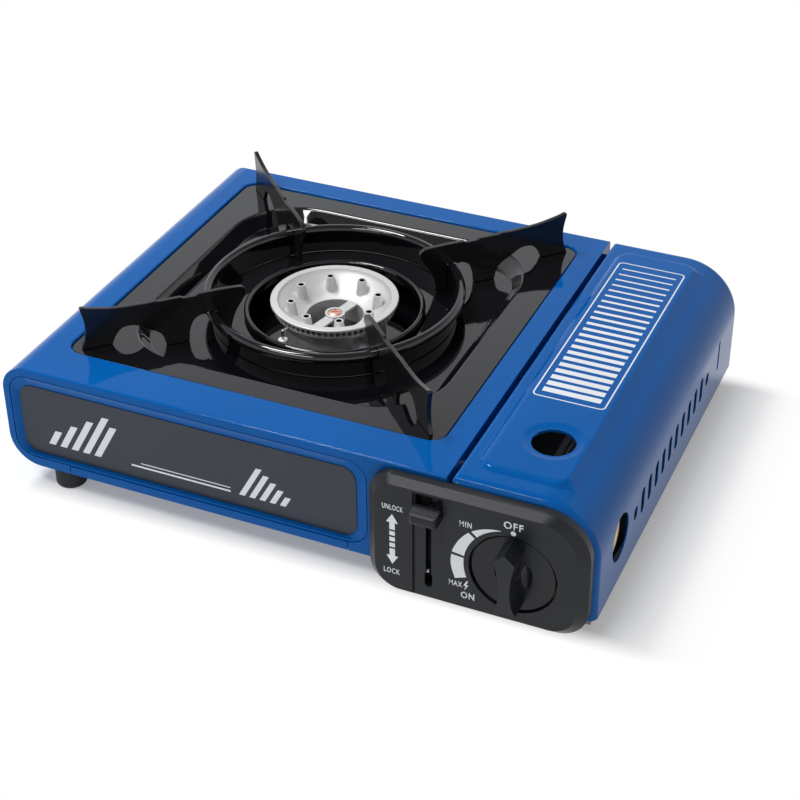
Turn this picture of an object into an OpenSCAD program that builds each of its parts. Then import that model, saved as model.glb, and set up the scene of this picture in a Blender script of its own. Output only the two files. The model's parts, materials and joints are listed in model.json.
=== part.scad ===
// Tabletop gas stove: one burner, a drip pan with its pan support, and a cartridge bay under a hinged lid.
// X runs along the front to the right, Y to the back and Z up. The feet stand on Z = 0.

/* [Body] */
// Width of the sheet-metal body, lid included
body_w = 340; // [330:1:370]
// Depth of the sheet-metal body
body_d = 258; // [254:1:280]
// Height of the body from its underside to the deck
body_h = 63; // [62:0.5:70]
// Ground clearance under the body
ground_gap = 16; // [14:0.5:22]
// Thickness of the casing sheet
sheet = 0.8; // [0.6:0.1:1]
// Outer bend radius at the deck's left edge
shell_top_r = 15.5; // [10:0.5:18]
// Outer bend radius at the left bottom edge
shell_low_r = 18; // [12:0.5:18]
// Outer bend radius of the deck's front and rear edges
edge_r = 1.6; // [1.2:0.1:4]
// Width of the casing's turned-under left edge, from the left end
return_w = 37; // [34:1:45]
// Depth of the deck's turned-down edge at the seam
seam_lip = 7; // [4:0.5:10]
// Number of vent slots in the rear wall
rear_vents = 9; // [4:1:11]

/* [Front] */
// Width of the casing's front frame at the left
frame_left = 3.8; // [3.5:0.1:6]
// Width of the casing's front frame at the top
frame_top = 4.8; // [4:0.1:7]
// Height of the base's front lip
front_lip = 5.4; // [5:0.1:7]
// Width of the fascia's window
window_w = 212.8; // [200:0.2:214]
// Corner radius of the fascia's window
window_r = 11.5; // [9:0.5:14]
// Depth of the fascia's recess
fascia_depth = 3; // [2:0.1:4]
// Width of the recess slope at the left
slope_left = 4; // [3:0.1:8]
// Width of the recess slope at the right
slope_right = 7; // [3:0.1:10]
// Width of the recess slope at the bottom
slope_low = 1.4; // [1.3:0.1:6]
// Width of the recess slope at the top
slope_top = 7; // [3:0.1:10]

/* [Lid] */
// Width of the cartridge bay's lid
lid_w = 77.4; // [76:0.2:80]
// Gap between the deck and the lid
seam_gap = 2.8; // [2.6:0.1:3.4]
// Height of the lid's sheet over the deck
lid_rise = 0.8; // [0.5:0.1:1.2]
// Outer radius of the lid's right shoulder
lid_r = 32; // [24:1:34]
// Outer bend radius of the lid's front and rear edges
lid_end_r = 4.5; // [2.5:0.5:5]
// Height of the lid's lower edge over the ground
lid_edge_z = 12.6; // [11.5:0.1:16]
// Height of the raised field on the lid
field_h = 2; // [1.4:0.1:2.4]
// Distance of the field from the seam
field_left = 10; // [9:0.5:14]
// Distance of the field from the lid's right end
field_right = 24; // [22:0.5:30]
// Distance of the field from the lid's front and rear ends
field_end = 15; // [12:0.5:22]
// Depth of the dish around the sight hole
dish_depth = 1.3; // [0.6:0.1:1.6]
// Width of the lid's end flanges
lid_flange = 9; // [7:0.5:10]
// Radius of the sight hole in the lid's top
sight_r = 11.5; // [8:0.5:14]
// Distance of the sight hole from the body's front
sight_back = 46; // [40:1:60]
// Radius of the round hole in the lid's side
side_hole_r = 13; // [8:0.5:14]
// Distance of the side hole from the body's front
side_hole_back = 35.5; // [30:0.5:42]
// Number of tall vents in the lid's side
lid_vents = 10; // [4:1:10]
// Spacing of the lid's vents
lid_vent_pitch = 12.3; // [8:0.1:12.5]
// Height of a tall vent
lid_vent_h = 16; // [10:0.5:20]
// Width of a vent
lid_vent_w = 5.8; // [3:0.1:6]

/* [Cartridge bay] */
// Length of the gas cartridge
can_length = 185; // [170:1:187]
// Radius of the gas cartridge
can_r = 33.5; // [30:0.1:33.6]
// Depth of the bay's floor under the main floor
bay_drop = 7.8; // [7:0.1:10]
// Half the distance between the cradle's rails
rail_half = 18; // [12:1:22]
// Height of the cradle's rails
rail_h = 5; // [4.6:0.1:6]

/* [Deck opening and drip pan] */
// Width of the deck left of the opening
deck_left = 24.6; // [22:0.1:30]
// Width of the deck between the opening and the seam
deck_right = 13.4; // [12.5:0.1:16]
// Width of the deck in front of the opening
deck_front = 25.8; // [22:0.1:34]
// Width of the deck behind the opening
deck_back = 16; // [14:0.1:24]
// Corner radius of the opening
open_r = 9; // [6:0.5:12]
// Depth of the ledge under the deck
ledge_drop = 2.4; // [2:0.1:4]
// Width of the ledge
ledge_w = 6; // [4:0.5:8]
// Thickness of the drip pan
pan_t = 1; // [0.8:0.1:1.4]
// Half the width of the pan's basin at its rim
basin_half = 94; // [88:1:96]
// Corner radius of the basin at its rim
basin_r = 43; // [36:1:50]
// Depth of the basin
basin_depth = 8; // [6:0.1:8.4]
// Slope of the basin's wall, seen from above
basin_slope = 6.5; // [4:0.5:9]
// Radius of the pan's hole around the burner
pan_hole_r = 48.5; // [46:0.5:50]
// Height of the raised lip around the hole
hole_lip_h = 4.2; // [3:0.1:6]
// Radius of the bead on the hole's lip
hole_bead_r = 1.7; // [1.2:0.1:2]

/* [Pan support] */
// Outer radius of the support ring's wall
ring_r = 70.2; // [69.5:0.1:73]
// Thickness of the ring's wall
ring_t = 1.2; // [1:0.1:2]
// Height of the ring with its bead
ring_h = 16; // [14:0.5:17]
// Radius of the ring's rolled bead
ring_bead_r = 2.9; // [1.8:0.1:3.2]
// Thickness of an arm
arm_t = 2.4; // [1.6:0.1:3]
// Height of the arms' level top over the ring
arm_rise = 12.8; // [10:0.1:16]
// Height of the horns over the arms' level top
horn_h = 5.4; // [3:0.1:8]
// Radius of the horns' tips from the burner's axis
horn_reach = 145; // [143:0.5:147]
// Radius of the arms' noses from the burner's axis
nose_reach = 52; // [50:0.5:56]

/* [Burner] */
// Outer radius of the burner head
head_r = 36.7; // [34:0.1:38]
// Height of the head's rim over the drip pan's border
head_rise = 0.8; // [0:0.1:3]
// Radius of the head's open centre
throat_r = 16.5; // [15:0.5:18]
// Depth of the head's dish under its rim
head_depth = 11.4; // [10:0.1:12]
// Number of flame slots
flame_slots = 64; // [24:4:72]
// Number of posts in the head
head_posts = 8; // [4:1:10]
// Radius of the posts' circle
post_circle_r = 25; // [23.5:0.1:26]
// Outer radius of the burner bowl
bowl_r = 29.2; // [28.5:0.1:30]
// Outer radius of the mixing tube
tube_r = 6; // [5:0.1:6.2]

/* [Controls] */
// Width of the control panel
panel_w = 117.5; // [114:0.5:118]
// Height of the control panel
panel_h = 72; // [70:0.5:73]
// Depth of the control panel
panel_depth = 8.6; // [8.4:0.1:12]
// Wall of the control panel
panel_wall = 2.2; // [1.6:0.1:2.4]
// Distance of the panel's right edge from the body's right end
panel_inset = 2.4; // [1:0.1:4]
// Distance of the panel's top from the deck
panel_under_deck = 2.6; // [2:0.1:5]
// Radius of the knob
knob_r = 22; // [18:0.5:22.5]
// Distance of the knob's axis from the body's right end
knob_from_end = 41; // [40:0.5:43]
// Height of the knob's axis over the panel's lower edge
knob_up = 32.5; // [30:0.5:34]
// Height of the knob's grip
grip_h = 14.5; // [11:0.5:18]
// How far the knob turns from OFF to ON
knob_turn = 130; // [90:1:135]
// Travel of the igniter's plunger over the knob's turn
strike = 4; // [2:0.1:4]
// Thickness of the lock lever's plate
lever_t = 2; // [1.5:0.1:2.4]
// Distance of the lever's plate from the seam
lever_from_seam = 6.2; // [5.8:0.1:6.6]
// Height of the lever's axle over the ground
axle_z = 36; // [35:0.5:38]
// Distance of the lever's axle from the panel's front
axle_back = 105; // [100:1:115]
// Half of the lever's swing
lever_half = 10.15; // [8:0.05:10.2]
// Length of the lever's crank
crank_len = 30; // [26:0.5:31]

/* [Clearances] */
// Gap between pieces that lie on each other and lift apart
rest_gap = 0.3; // [0.2:0.05:0.5]
// Radial clearance of a hinge pin
pin_gap = 0.06; // [0.03:0.01:0.1]
// Radial clearance of a piece pressed on a shaft
press_gap = 0.02; // [0.01:0.01:0.05]
// Gap around sliding and turning pieces
slide_gap = 0.4; // [0.3:0.05:0.6]
// Gap between the lid's flanges and the plates beside them
flange_gap = 0.8; // [0.6:0.1:1.2]
// Gap around the drip pan in the deck's opening
pan_gap = 1; // [0.6:0.1:2]
// Gap around the fascia in its window
fascia_gap = 0.5; // [0.3:0.1:1]

/* [Hidden] */
$fn = 48;
eps = 0.01;

paint = [0.02, 0.36, 0.70];
enamel = [0.05, 0.05, 0.06];
charcoal = [0.17, 0.18, 0.20];
plate_grey = [0.24, 0.26, 0.29];
steel = [0.70, 0.71, 0.73];
cast = [0.80, 0.80, 0.79];
brass = [0.78, 0.62, 0.28];
rubber = [0.07, 0.07, 0.08];
ceramic = [0.93, 0.92, 0.88];

// The knob's disc lies this far behind the panel's face, with this gap round it
knob_sunk = 1.1;
knob_gap = 1.3;
panel_gap = 0.6;
front_reach = panel_gap + panel_depth - knob_sunk + grip_h;
y_mid = front_reach / 2;

xl = -body_w / 2;
xr = body_w / 2;
yf = y_mid - body_d / 2;
yb = y_mid + body_d / 2;
z_base = ground_gap;
z_deck = ground_gap + body_h;
floor_z = z_base + sheet;
floor_top = floor_z + sheet;

// Feet and case screws
foot_from_end = 28;
foot_from_front = 13;
case_screw_h = 1.6;

// Seam between the deck and the lid
lid_x0 = xr - lid_w;
shell_x1 = lid_x0 - seam_gap;
z_lid = z_deck + lid_rise;
lid_corner_r = 2.5;
hinge_x = lid_x0 + lid_corner_r + 0.1;
hinge_z = z_lid - 4.3;
hinge_pin_r = 1.5;
hinge_ear_r = 2.6;
lid_swing_room = 5.4;

// Deck opening
ox0 = xl + deck_left;
ox1 = shell_x1 - deck_right;
oy0 = yf + deck_front;
oy1 = yb - deck_back;
bx = (ox0 + ox1) / 2;
by = (oy0 + oy1) / 2;
ledge_top = z_deck - ledge_drop;

// Drip pan and pan support levels
border_low = ledge_top + rest_gap;
border_top = border_low + pan_t;
basin_top = border_top - basin_depth;
pan_bend_r = 1.8;
wall_angle = atan2(basin_depth, basin_slope);
wall_slant = (basin_depth - (2 * pan_bend_r + pan_t) * (1 - cos(wall_angle))) / sin(wall_angle);
wall_foot_r = basin_r - (2 * pan_bend_r + pan_t) * sin(wall_angle) - wall_slant * cos(wall_angle);
support_foot_low = basin_top + rest_gap;
support_foot_high = border_top + rest_gap;
ring_top = support_foot_low + ring_h;
arm_top = ring_top + arm_rise;

// Fascia window in the casing's front frame
return_x = xl + return_w;
wx0 = xl + frame_left;
wx1 = wx0 + window_w;
wz0 = z_base + front_lip;
wz1 = z_deck - frame_top;

// Cartridge bay
bay_z = floor_z - bay_drop;
bay_top = bay_z + sheet;
shield_x = shell_x1 - 10.6;
bay_x0 = shield_x + sheet;
bay_wall_x0 = shell_x1 + 1.4;
bay_inset = 3.2;
bay_x1 = xr - bay_inset;
bay_side_h = 14;
bay_wall_gap = sheet + flange_gap;
bay_wall_top = z_lid - bay_inset;
bay_shoulder_r = lid_r - bay_inset;

// Control panel, knob and lever
px1 = xr - panel_inset;
px0 = px1 - panel_w;
pz1 = z_deck - panel_under_deck;
pz0 = pz1 - panel_h;
p_back = yf - panel_gap;
p_front = p_back - panel_depth;
knob_x = xr - knob_from_end;
knob_z = pz0 + knob_up;
spindle_r = 3;
recess_depth = 4.2;
lever_x = shell_x1 - lever_from_seam;
axle_y = p_front + axle_back;
axle_r = 2.5;
crank_pin_r = 2;
channel_w = 16.5;
channel_depth = 1.4;
nose_up = 6.5;
lever_reach = axle_back * sin(lever_half);
pull_travel = 2 * crank_len * sin(lever_half);

// Governor and igniter, behind the bay's front wall
bay_wall_in = yf + bay_wall_gap + sheet;
igniter_w = 8;
igniter_y = bay_wall_in + igniter_w / 2;
cam_t = 4;
cam_r = 8;
cam_gap = 0.5;
governor_y0 = igniter_y + igniter_w / 2;
governor_depth = 21;
governor_arm = 23.4;
bracket_t = 1.5;
bracket_y = governor_y0 + governor_depth;
can_x = xr - 41;
can_z = bay_top + sheet + rail_h + sqrt(can_r * can_r - rail_half * rail_half);
socket_depth = 8;
inlet_boss_r = 8;
inlet_boss_out = 1;
socket_y = bracket_y + bracket_t + socket_depth;
plunger_r = 2.6;
igniter_x1 = knob_x - 16;
igniter_x0 = igniter_x1 - 21;

// Pull rod and pusher
rod_w = 8;
rod_t = 2;
rod_room = 1.4;
rod_x = lever_x + lever_t / 2 + rod_room;
rod_z = axle_z + crank_len;
pusher_t = 1.5;
guide_in = 3;
pusher_y = socket_y + can_length + pull_travel;

// Mixing tube, from the jet to the burner bowl
tube_z = border_top - 15.5;
jet_x = knob_x - 25;
jet_y = governor_y0 + 8;
tube_dx = bx - jet_x;
tube_dy = by - jet_y;
tube_span = sqrt(tube_dx * tube_dx + tube_dy * tube_dy);
tube_turn = atan2(tube_dy, tube_dx);
tube_wall = 0.8;
jet_hex_h = 4;

// Burner levels
head_top = border_top + head_rise;
head_wall_h = 5.2;
head_low = head_top - head_wall_h;
head_t = 1.8;
head_skirt_r = head_r - 2.4;
dish_low = head_top - head_depth;
throat_seat = dish_low - head_t;
bowl_wall = 2;
bowl_low = tube_z - tube_r - bowl_wall;
stand_t = 1.5;
screw_r = 2.4;
burner_screw_r = 3.9;

// Spark electrode beside the head
spark_turn = -109;
spark_r = 41.5;
spark_x = bx + spark_r * cos(spark_turn);
spark_y = by + spark_r * sin(spark_turn);
insulator_r = 2.6;
wire_r = 0.8;
insulator_h = 28;
strip_t = 1.2;
collar_h = 5;
collar_out = 1.4;
strip_top = bowl_low - stand_t;
insulator_low = strip_top - insulator_h * 0.4;

// Ignition lead from the igniter to the electrode, held inside the body all along
lead_r = 1.3;
lead_y = yf + 9;
lead_top = z_deck - 11;
lead_low = floor_top + 6.4;
lead_points = [
  [igniter_x0 - 4.4, igniter_y + 0.2, knob_z + 0.6],
  [shell_x1 - 2.4, lead_y - 1.5, lead_top - 18],
  [shell_x1 - 2.2, lead_y - 1, lead_top - 6],
  [lever_x - 0.1, lead_y, lead_top],
  [shield_x - 2.2, lead_y + 2, lead_top - 2],
  [shield_x - 8.2, lead_y + 8, lead_top - 18],
  [shield_x - 19.2, lead_y + 20, lead_low + 7],
  [bx + 64.5, lead_y + 40, lead_low],
  [bx + 26.5, lead_y + 60, lead_low],
  [bx + 0.5, lead_y + 75, lead_low + 2]
];

// Prism from a front-view outline, between two depths
module along_y(y0, y1) translate([0, y1, 0]) rotate([90, 0, 0]) linear_extrude(y1 - y0) children();

// Prism from an end-view outline of depth and height, between two widths
module along_x(x0, x1) translate([x0, 0, 0]) rotate([90, 0, 90]) linear_extrude(x1 - x0) children();

// Prism from a plan, between two heights
module along_z(z0, z1) translate([0, 0, z0]) linear_extrude(z1 - z0) children();

// Box from corner to corner
module block(low, high) translate(low) cube(high - low);

// Rectangle whose corners have radii: lower left, lower right, upper right, upper left
module rounded(x0, y0, x1, y1, r) {
  polygon(concat(
    r[0] > 0 ? [[x0, y0 + r[0]], [x0 + r[0], y0]] : [[x0, y0]],
    r[1] > 0 ? [[x1 - r[1], y0], [x1, y0 + r[1]]] : [[x1, y0]],
    r[2] > 0 ? [[x1, y1 - r[2]], [x1 - r[2], y1]] : [[x1, y1]],
    r[3] > 0 ? [[x0 + r[3], y1], [x0, y1 - r[3]]] : [[x0, y1]]
  ));
  for (c = [[x0 + r[0], y0 + r[0], r[0]], [x1 - r[1], y0 + r[1], r[1]],
            [x1 - r[2], y1 - r[2], r[2]], [x0 + r[3], y1 - r[3], r[3]]])
    if (c[2] > 0) translate([c[0], c[1]]) circle(c[2]);
}

// Slot with round ends, centred, along the second axis
module obround(w, h) rounded(-w / 2, -h / 2, w / 2, h / 2, [w, w, w, w] / 2);

// Smooth curve through points, with steps between each two
function blend(a, b, c, d, t) =
  0.5 * (2 * b + (c - a) * t + (2 * a - 5 * b + 4 * c - d) * t * t + (3 * b - a - 3 * c + d) * t * t * t);
function curve(p, steps) = [
  for (i = [0 : len(p) - 2], s = [0 : steps - 1])
    blend(p[max(i - 1, 0)], p[i], p[i + 1], p[min(i + 2, len(p) - 1)], s / steps),
  p[len(p) - 1]
];

// Round tube along a route
function unit(v) = v / norm(v);
module sweep(route, r, sides) {
  last = len(route) - 1;
  side_ref = [0.5, 0.8, 0.1];
  rings = [
    for (i = [0 : last])
      let (
        t = unit(route[min(i + 1, last)] - route[max(i - 1, 0)]),
        u = unit(cross(t, side_ref)),
        v = cross(t, u)
      )
      for (k = [0 : sides - 1]) route[i] + r * (u * cos(360 * k / sides) + v * sin(360 * k / sides))
  ];
  walls = [
    for (i = [0 : last - 1], k = [0 : sides - 1], half = [0, 1])
      let (a = i * sides + k, b = i * sides + (k + 1) % sides)
      half == 0 ? [a, b, b + sides] : [a, b + sides, a + sides]
  ];
  caps = [
    for (k = [1 : sides - 2], end = [0, 1])
      end == 0 ? [0, k + 1, k] : [last * sides, last * sides + k, last * sides + k + 1]
  ];
  polyhedron(rings, [for (f = concat(walls, caps)) [f[2], f[1], f[0]]]);
}

// Casing

module shell_outline(inset = 0)
  rounded(xl + inset, z_base + inset, shell_x1 - inset, z_deck - inset,
          [shell_low_r - inset, 0, 0, shell_top_r - inset]);

module window_outline(grow = 0)
  rounded(wx0 - grow, wz0 - grow, wx1 + grow, wz1 + grow, [1, 1, 1, 1] * (window_r + grow));

module open_outline(inset = 0)
  rounded(ox0 + inset, oy0 + inset, ox1 - inset, oy1 - inset,
          [1, 1, 1, 1] * (open_r - min(inset, open_r - 2)));

module lever_opening(grow = 0)
  rounded(lever_x - 6 - grow, pz0 + 5 - grow, lever_x + 5 + grow, z_deck - 8 + grow, [2, 2, 2, 2]);

// Casing's outside or inside as a solid, its front and rear top edges bent
module shell_form(inset) intersection() {
  along_y(yf + inset, yb - inset) shell_outline(inset);
  along_x(xl, xr) rounded(yf + inset, 0, yb - inset, z_deck - inset, [0, 0, 1, 1] * (edge_r - inset));
}

module main_shell() color(paint) difference() {
  vent_w = 14;
  vent_h = 4;
  vent_pitch = 22;
  vent_z = z_deck - 24;
  union() {
    difference() {
      shell_form(0);
      shell_form(sheet);
      block([return_x, yf + sheet, z_base - 1], [xr, yb - sheet, floor_z + eps]);
      block([shell_x1 - 2 * sheet, yf + sheet, z_base - 1], [xr, yb - sheet, z_deck - seam_lip]);
      along_z(z_deck - 2 * sheet, z_deck + 1) open_outline();
      along_y(yf - 1, yf + sheet + eps) {
        window_outline();
        lever_opening();
        translate([return_x, z_base - 1]) square([wx1 - window_r - return_x, front_lip + 1]);
      }
    }
    along_z(ledge_top - sheet, z_deck) difference() {
      open_outline(-sheet);
      open_outline();
    }
    along_z(ledge_top - sheet, ledge_top) difference() {
      open_outline(-sheet);
      open_outline(ledge_w);
    }
  }
  for (i = [0 : rear_vents - 1])
    translate([bx + (i - (rear_vents - 1) / 2) * vent_pitch, 0, vent_z])
      along_y(yb - 2 * sheet, yb + 1) rotate(90) obround(vent_h, vent_w);
}

module base_pan() color(paint) difference() {
  rib = 1.6;
  rib_half = 9;
  rib_pitch = 70;
  rib_end = 30;
  lip_x0 = return_x + fascia_gap;
  lip_x1 = wx1 - window_r - fascia_gap;
  floor_x0 = xl + shell_low_r;
  vent_len = 34;
  vent_w = 5;
  vent_pitch = 14;
  union() {
    block([floor_x0, yf + sheet, floor_z], [bay_x0, yb - sheet, floor_top]);
    block([lip_x0, yf, z_base], [lip_x1, yf + sheet, wz0 - fascia_gap]);
    block([lip_x0, yf + sheet / 2, floor_z], [lip_x1, yf + 2 * sheet, floor_top]);
    for (i = [-1 : 1])
      along_y(yf + rib_end, yb - rib_end) translate([bx + i * rib_pitch, floor_top - eps])
        rounded(-rib_half, 0, rib_half, rib, [0, 0, rib, rib]);
  }
  for (s = [-0.5, 0.5], i = [-4, -3, -2, 2, 3, 4])
    translate([bx + s * rib_pitch, by + i * vent_pitch, 0])
      along_z(floor_z - 1, floor_top + 4) rotate(90) obround(vent_w, vent_len);
}

// End wall of the bay, cut back at the hinge where the lid's edge swings
module bay_wall_outline() {
  rounded(hinge_x, bay_z, bay_x1, bay_wall_top, [0, 0, bay_shoulder_r, 0]);
  translate([bay_wall_x0, bay_z]) square([can_x - bay_wall_x0, hinge_z - lid_swing_room - bay_z]);
  translate([hinge_x, hinge_z]) circle(hinge_ear_r);
}

module bay_tray() color(steel) difference() {
  y0 = yf + bay_wall_gap;
  y1 = yb - bay_wall_gap;
  spindle_hole_r = 9;
  union() {
    block([bay_x0, y0, bay_z], [bay_x0 + sheet, y1, floor_top]);
    block([bay_x0, y0, bay_z], [bay_x1, y1, bay_top]);
    block([bay_x1 - sheet, y0, bay_z], [bay_x1, y1, bay_z + bay_side_h]);
    for (y = [y0, y1 - sheet]) along_y(y, y + sheet) bay_wall_outline();
  }
  for (y = [yf, yb])
    translate([hinge_x, y + 10, hinge_z]) rotate([90, 0, 0]) cylinder(r = hinge_pin_r + press_gap, h = 20);
  translate([knob_x, yf + 10, knob_z]) rotate([90, 0, 0]) cylinder(r = spindle_hole_r, h = 12);
}

module front_fascia() color(paint) difference() {
  front = yf + fascia_gap / 2;
  flange = 2;
  union() {
    along_y(front, front + fascia_depth + sheet) window_outline(-fascia_gap);
    along_y(yf + sheet, yf + 2 * sheet) window_outline(flange);
  }
  hull() {
    along_y(front - 1, front) window_outline(-fascia_gap - sheet);
    along_y(front + fascia_depth - eps, front + fascia_depth) plate_outline();
  }
}

module plate_outline(inset = 0)
  rounded(wx0 + slope_left + inset, wz0 + slope_low + inset,
          wx1 - slope_right - inset, wz1 - slope_top - inset, [1, 1, 1, 1] * (window_r - 3 - inset));

module fascia_plate() color(plate_grey) {
  face = yf + fascia_gap / 2 + fascia_depth;
  plate_t = 0.5;
  along_y(face - plate_t, face) plate_outline(plate_t);
}

module heat_shield() color(steel) difference() {
  foot_w = 12;
  margin = 4;
  tube_room = 1;
  lead_hole_r = 4;
  union() {
    block([shield_x, yf + margin, floor_top], [bay_x0, yb - margin, z_deck - sheet - 1]);
    block([shield_x - foot_w, yf + margin, floor_top], [shield_x + eps, yb - margin, floor_top + sheet]);
  }
  on_tube() cylinder(r = tube_r + tube_room, h = 80);
  translate([shield_x - 1, axle_y, axle_z]) rotate([0, 90, 0]) cylinder(r = axle_r + press_gap, h = 5);
  translate([shield_x - 1, lead_y + 1, lead_top - 0.6]) rotate([0, 90, 0]) cylinder(r = lead_hole_r, h = 5);
}

module case_screws() color(steel) {
  inset = 7;
  from_end = 70;
  for (y = [yf + from_end, yb - from_end]) {
    translate([return_x - inset, y, z_base - case_screw_h]) screw();
    translate([shield_x - inset, y, floor_z - case_screw_h]) screw();
  }
}

module screw() {
  head_r = 3.2;
  edge = 1;
  rotate_extrude()
    polygon(concat([[0, 0]],
                   [for (a = [-90 : 15 : 0]) [head_r - edge + edge * cos(a), edge + edge * sin(a)]],
                   [[head_r, case_screw_h], [0, case_screw_h]]));
}

module foot(h) {
  r = 8.75;
  edge = 2.2;
  rotate_extrude() {
    square([r - edge, h]);
    translate([0, edge]) square([r, h - edge]);
    translate([r - edge, edge]) circle(edge);
  }
}
module foot_front_left() color(rubber) translate([xl + foot_from_end, yf + foot_from_front, 0]) foot(z_base);
module foot_rear_left() color(rubber) translate([xl + foot_from_end, yb - foot_from_front, 0]) foot(z_base);
module foot_front_right() color(rubber) translate([xr - foot_from_end, yf + foot_from_front, 0]) foot(bay_z);
module foot_rear_right() color(rubber) translate([xr - foot_from_end, yb - foot_from_front, 0]) foot(bay_z);

// Lid of the cartridge bay

module lid_outline(inset, round_in)
  rounded(lid_x0 + inset, lid_edge_z - inset, xr - inset - round_in, z_lid - inset - round_in,
          [0, 0, lid_r - inset - round_in, max(lid_corner_r - inset - round_in, 0)]);

// Lid's outside or inside as a solid, its front and rear edges bent
module lid_form(inset) {
  bend = lid_end_r - inset;
  hull()
    for (a = [0 : 18 : 90])
      along_y(yf + inset + bend * (1 - cos(a)), yb - inset - bend * (1 - cos(a)))
        lid_outline(inset, bend * (1 - sin(a)), $fn = 72);
}

module lid_field(grow, rise) {
  corner = 6;
  along_z(z_lid + rise - eps, z_lid + rise)
    rounded(lid_x0 + field_left - grow, yf + field_end - grow, xr - field_right + 0.6 * grow,
            yb - field_end + grow, [1, 1, 1, 1] * (corner + grow));
}

module lid_cover() color(paint) difference() {
  lip_z = z_lid - 5.5;
  lip_in = 6;
  notch_in = bay_wall_gap - rest_gap;
  vent_z = lid_edge_z + 25;
  side_hole_z = lid_edge_z + 28;
  shoulder_drop = 3.8;
  field_slope = 6.5;
  dish_w = 4.5;
  groove_back = 37;
  groove_z = lid_edge_z + 26.5;
  union() {
    difference() {
      union() {
        lid_form(0);
        hull() {
          lid_field(4, -sheet / 2);
          lid_field(1.6, field_h * 0.65);
          lid_field(0.5, field_h * 0.92);
          lid_field(-1.5, field_h);
          block([xr - lid_r, yf + field_end, z_lid - shoulder_drop],
                [xr - field_right + field_slope, yb - field_end, z_lid - shoulder_drop + eps]);
        }
      }
      lid_form(sheet);
      along_y(yf - 1, yb + 1) {
        rounded(lid_x0 - 1, lid_edge_z - 1, xr - lid_flange, z_lid - lid_flange,
                [0, 0, lid_r - lid_flange, 0]);
        translate([lid_x0 - 1, lid_edge_z - 1]) square([2 * sheet + 1, z_lid - lid_corner_r - lid_edge_z]);
      }
    }
    along_y(yf + lip_in, yb - lip_in) translate([lid_x0, lip_z])
      square([sheet, z_lid - lid_corner_r - lip_z]);
  }
  translate([can_x, yf + sight_back, z_lid - 5]) cylinder(r = sight_r, h = 10);
  translate([can_x, yf + sight_back, z_lid + field_h - dish_depth])
    cylinder(r1 = sight_r + 1, r2 = sight_r + 1 + 2 * dish_w, h = 2 * dish_depth);
  translate([xr - 5, yf + side_hole_back, side_hole_z]) rotate([0, 90, 0]) cylinder(r = side_hole_r, h = 10);
  for (i = [-1 : lid_vents])
    translate([0, y_mid + (i - (lid_vents - 1) / 2) * lid_vent_pitch, vent_z])
      along_x(xr - 3, xr + 1) obround(lid_vent_w, i < 0 || i == lid_vents ? lid_vent_h / 2 : lid_vent_h);
  translate([0, yb - groove_back, groove_z]) along_x(xr - sheet / 2, xr + 1) obround(3.2, 20);
  for (y = [yf, yb])
    translate([hinge_x, y + 5, hinge_z]) rotate([90, 0, 0]) cylinder(r = hinge_pin_r + pin_gap, h = 10);
  for (y = [yf + notch_in, yb - lip_in])
    along_y(y, y + lip_in - notch_in) translate([hinge_x, hinge_z]) circle(hinge_ear_r + rest_gap);
}

module hinge_pins() color(steel)
  for (s = [0, 1])
    translate([hinge_x, s == 0 ? yf : yb, hinge_z]) rotate([s == 0 ? -90 : 90, 0, 0]) {
      cylinder(r = hinge_pin_r, h = 7);
      translate([0, 0, bay_wall_gap + sheet]) cylinder(r = hinge_ear_r, h = 2);
    }

// Cartridge bay

module cartridge_cradle() color(steel) {
  y0 = socket_y + 14;
  y1 = socket_y + can_length - 20;
  block([can_x - rail_half - 8, y0, bay_top], [can_x + rail_half + 8, y1, bay_top + sheet]);
  for (s = [-1, 1])
    along_y(y0, y1) translate([can_x + s * rail_half, bay_top + sheet - eps])
      rounded(-3, 0, 3, rail_h + eps, [0, 0, 2.5, 2.5]);
}

module governor_bracket() color(steel) difference() {
  left = can_x - 24;
  right = can_x + governor_arm - 1;
  foot_d = 14;
  union() {
    along_y(bracket_y, bracket_y + bracket_t) rounded(left, bay_top, right, bay_wall_top - 8, [0, 0, 10, 6]);
    block([left, bracket_y, bay_top], [right, bracket_y + foot_d, bay_top + bracket_t]);
  }
  translate([can_x, bracket_y + 5, can_z]) rotate([90, 0, 0]) cylinder(r = inlet_boss_r + press_gap, h = 10);
}

module governor_body() color(cast) difference() {
  lobe_r = 15;
  union() {
    translate([knob_x, bracket_y, knob_z]) rotate([90, 0, 0]) cylinder(r = lobe_r, h = governor_depth);
    translate([can_x, bracket_y, can_z]) rotate([90, 0, 0]) cylinder(r = lobe_r, h = governor_depth - 4);
    translate([can_x, bracket_y + bracket_t + inlet_boss_out, can_z]) rotate([90, 0, 0])
      cylinder(r = inlet_boss_r, h = bracket_t + inlet_boss_out + 4);
    along_y(governor_y0 + 2, bracket_y - 2)
      rounded(jet_x + 9, tube_z - 8, can_x + 8, tube_z + 7, [5, 3, 5, 5]);
    translate([can_x, governor_y0 + 11, knob_z + 6]) rotate([0, 90, 0]) cylinder(r = 9, h = governor_arm);
    translate([jet_x, jet_y, tube_z]) rotate(tube_turn) block([-13, -7, -7], [-jet_hex_h, 7, 7]);
  }
  translate([knob_x, governor_y0 + 9, knob_z]) rotate([90, 0, 0]) cylinder(r = spindle_r + pin_gap, h = 20);
  translate([can_x, bracket_y + 20, can_z]) rotate([90, 0, 0]) cylinder(r = 2, h = 24);
}

module governor_cap() color(brass) translate([can_x + governor_arm, governor_y0 + 17.4, knob_z + 8])
  rotate([0, 90, 0]) rotate_extrude() {
    square([12.5, 9]);
    square([10.5, 12]);
    translate([10.5, 9]) circle(2);
    square([4, 14]);
  }

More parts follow.
